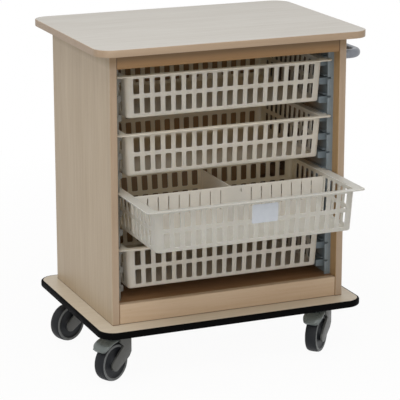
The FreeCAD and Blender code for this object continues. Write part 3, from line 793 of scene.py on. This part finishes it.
def pillowed_pedal(node, place):
    """Pedal of the frame with its pad thinned towards the rim like a cushion."""
    bm = bmesh.new()
    bm.from_mesh(nodes[node].data)
    bmesh.ops.remove_doubles(bm, verts=bm.verts, dist=1e-6)
    bmesh.ops.transform(bm, matrix=place.inverted(), verts=bm.verts)
    bmesh.ops.dissolve_limit(bm, angle_limit=math.radians(0.5), verts=bm.verts, edges=bm.edges)
    for step in range(int((pad_tip - pad_start) / pad_step) + 1):
        slice_mesh(bm, (pad_start + step * pad_step, 0, 0), (1, 0, 0))
    for step in range(1, int(pad_half / pad_step) + 1):
        for side in (-1, 1):
            slice_mesh(bm, (0, side * (pad_half - step * pad_step), 0), (0, 1, 0))
    whole = BVHTree.FromBMesh(bm)
    beside_middle = 0.0001
    last_probe = pad_tip - 0.0003
    for vert in bm.verts:
        if vert.co.x < pad_start:
            continue
        x = min(vert.co.x, last_probe)
        top = whole.ray_cast(Vector((x, beside_middle, 1)), Vector((0, 0, -1)))[0]
        under = whole.ray_cast(Vector((x, beside_middle, 0)), Vector((0, 0, 1)))[0]
        if top is None or under is None:
            continue
        middle = (top.z + under.z) / 2
        inside = min(max(rim_distance(vert.co.x, vert.co.y), 0) / pad_soft, 1)
        full = max(pad_rim, math.sqrt(1 - (1 - inside) ** 2))
        blend = min((vert.co.x - pad_start) / pad_blend, 1)
        vert.co.z = middle + (vert.co.z - middle) * (1 - blend * (1 - full))
    bmesh.ops.transform(bm, matrix=place, verts=bm.verts)
    return bm


def turned(profile, place):
    """Ring or disc spun about the wheel's axle from a profile of (sideways, radius) points."""
    bm = bmesh.new()
    points = [bm.verts.new((0, side, radius)) for side, radius in profile]
    for first, second in zip(points, points[1:]):
        bm.edges.new((first, second))
    bmesh.ops.spin(bm, geom=[*bm.verts, *bm.edges], cent=(0, 0, 0), axis=(0, 1, 0),
                   angle=math.radians(360), steps=wheel_steps, use_merge=True)
    bmesh.ops.remove_doubles(bm, verts=bm.verts, dist=1e-6)
    bmesh.ops.recalc_face_normals(bm, faces=bm.faces)
    bmesh.ops.transform(bm, matrix=place, verts=bm.verts)
    return bm


def mirrored(half):
    """Closed profile from its half on one side of the wheel's middle plane."""
    return half + [(-side, radius) for side, radius in reversed(half)]


tread_half = [(0.0, 0.0500), (0.008, 0.0498), (0.0125, 0.0490), (0.0145, 0.0478), (0.0150, 0.0470),
              (0.0150, 0.0410), (0.0, 0.0410)]
sidewall_half = [(0.0148, 0.0480), (0.0158, 0.0470), (0.0160, 0.0455), (0.0160, 0.0430), (0.0154, 0.0416),
                 (0.0148, 0.0410)]
hub_half = [(0.0, 0.0412), (0.0150, 0.0412), (0.0148, 0.0400), (0.0132, 0.0386), (0.0126, 0.0360),
            (0.0132, 0.0220), (0.0160, 0.0175), (0.0172, 0.0165), (0.0177, 0.0150), (0.0177, 0.0062),
            (0.0, 0.0062)]

for name, (x, y, heading) in castors.items():
    place = Matrix.Translation((x, y, 0)) @ Matrix.Rotation(math.radians(heading), 4, "Z")
    wheel_place = place @ Matrix.Translation((trail, 0, wheel_radius))
    wheel = "wheel_" + name
    fork = "castor_" + name
    pedal = "pedal_" + name

    bm = turned(mirrored(tread_half), wheel_place)
    add_piece("tyre_" + name, bm, tread_rubber, wheel, "wheel_tyre_" + name, smooth=50)
    for side, face in ((-1, "inner"), (1, "outer")):
        bm = turned([(side * across, radius) for across, radius in sidewall_half], wheel_place)
        add_piece("sidewall_%s_%s" % (name, face), bm, sidewall_rubber, wheel, smooth=60)
    bm = turned(mirrored(hub_half), wheel_place)
    add_piece("hub_" + name, bm, hub_plastic, wheel, "wheel_hub_" + name, smooth=40)

    bm = softened_copy("castor_fork_" + name, fork_arris)
    add_piece("fork_" + name, bm, fork_plastic, fork, "castor_fork_" + name, smooth=40)
    if name.startswith("front"):
        bm = pillowed_pedal("brake_pedal_" + name, place)
        add_piece(pedal, bm, pedal_plastic, pedal, "brake_pedal_" + name, smooth=55)


# --- Camera, light and floor ---------------------------------------------------------------
# A long lens looks down by 15 degrees on the open front, from its left.
# Three large soft lamps and an even, slightly warm sky light it on a white floor.

camera_dip = 15.389
camera_turn = 22.918
camera_data = bpy.data.cameras.new("camera")
camera_data.lens = 169.44
camera_data.sensor_width = 36
camera_data.clip_end = 100
camera = bpy.data.objects.new("camera", camera_data)
camera.location = (-1.8991, -4.5092, 1.7368)
camera.rotation_euler = (math.radians(90 - camera_dip), 0, -math.radians(camera_turn))
bpy.context.scene.collection.objects.link(camera)
bpy.context.scene.camera = camera


def soft_lamp(name, place, towards, size, power, colour=(1, 1, 1)):
    data = bpy.data.lights.new(name, "AREA")
    data.color = colour
    data.shape = "SQUARE"
    data.size = size
    data.energy = power
    lamp = bpy.data.objects.new(name, data)
    lamp.location = place
    lamp.rotation_euler = (Vector(towards) - Vector(place)).to_track_quat("-Z", "Y").to_euler()
    bpy.context.scene.collection.objects.link(lamp)


def seen_by_camera(tree):
    """Mask of the camera's own rays, straight or by way of a gloss or of something clear."""
    rays = put(tree, "ShaderNodeLightPath").outputs
    either = maths(tree, "MAXIMUM", rays["Is Camera Ray"], rays["Is Glossy Ray"])
    return maths(tree, "MAXIMUM", either, rays["Is Transmission Ray"])


soft_lamp("overhead_lamp", place=(-0.5, -1.0, 3.1), towards=(0, 0, 0.5), size=2.4, power=30)
soft_lamp("front_lamp", place=(-1.3, -2.3, 3.2), towards=(0, 0, 0.5), size=1.6, power=12)
soft_lamp("fill_lamp", place=(-1.7, -4.2, 1.3), towards=(0, 0, 0.45), size=1.6, power=31,
          colour=(1.0, 0.92, 0.80))

sky_light = (1.0, 0.955, 0.88, 1)
sky_power = 0.44
white = (1, 1, 1, 1)
world = bpy.data.worlds.new("studio")
bpy.context.scene.world = world
world.use_nodes = True
tree = world.node_tree
tree.nodes.clear()
seen = seen_by_camera(tree)
sky = put(tree, "ShaderNodeBackground", {"Color": blend_colours(tree, seen, sky_light, white),
                                         "Strength": spread(tree, seen, 0, 1, sky_power, 1.0)})
tree.links.new(sky.outputs[0], put(tree, "ShaderNodeOutputWorld").inputs["Surface"])

floor_half = 30
shadow_radius = 0.7
clear_radius = 2.2
shadow_glow = 0.95
mesh = bpy.data.meshes.new("studio_floor")
bm = bmesh.new()
bmesh.ops.create_grid(bm, x_segments=1, y_segments=1, size=floor_half)
bm.to_mesh(mesh)
bm.free()
studio_floor = bpy.data.objects.new("studio_floor", mesh)
bpy.context.scene.collection.objects.link(studio_floor)
paper, tree, shader, place = new_finish("studio_paper")
shader.inputs["Base Color"].default_value = (0.9, 0.9, 0.9, 1)
shader.inputs["Roughness"].default_value = 0.9
shader.inputs["Specular IOR Level"].default_value = 0.0
away = put(tree, "ShaderNodeVectorMath", {0: place}, operation="LENGTH").outputs["Value"]
glow_share = spread(tree, away, shadow_radius, clear_radius, shadow_glow, 1.0)
glow = put(tree, "ShaderNodeEmission", {"Color": white, "Strength": 1.0})
both = put(tree, "ShaderNodeMixShader", {0: maths(tree, "MULTIPLY", seen_by_camera(tree), glow_share)})
tree.links.new(shader.outputs[0], both.inputs[1])
tree.links.new(glow.outputs[0], both.inputs[2])
tree.links.new(both.outputs[0], tree.nodes["Material Output"].inputs["Surface"])
mesh.materials.append(paper)

scene = bpy.context.scene
scene.view_settings.view_transform = "Standard"
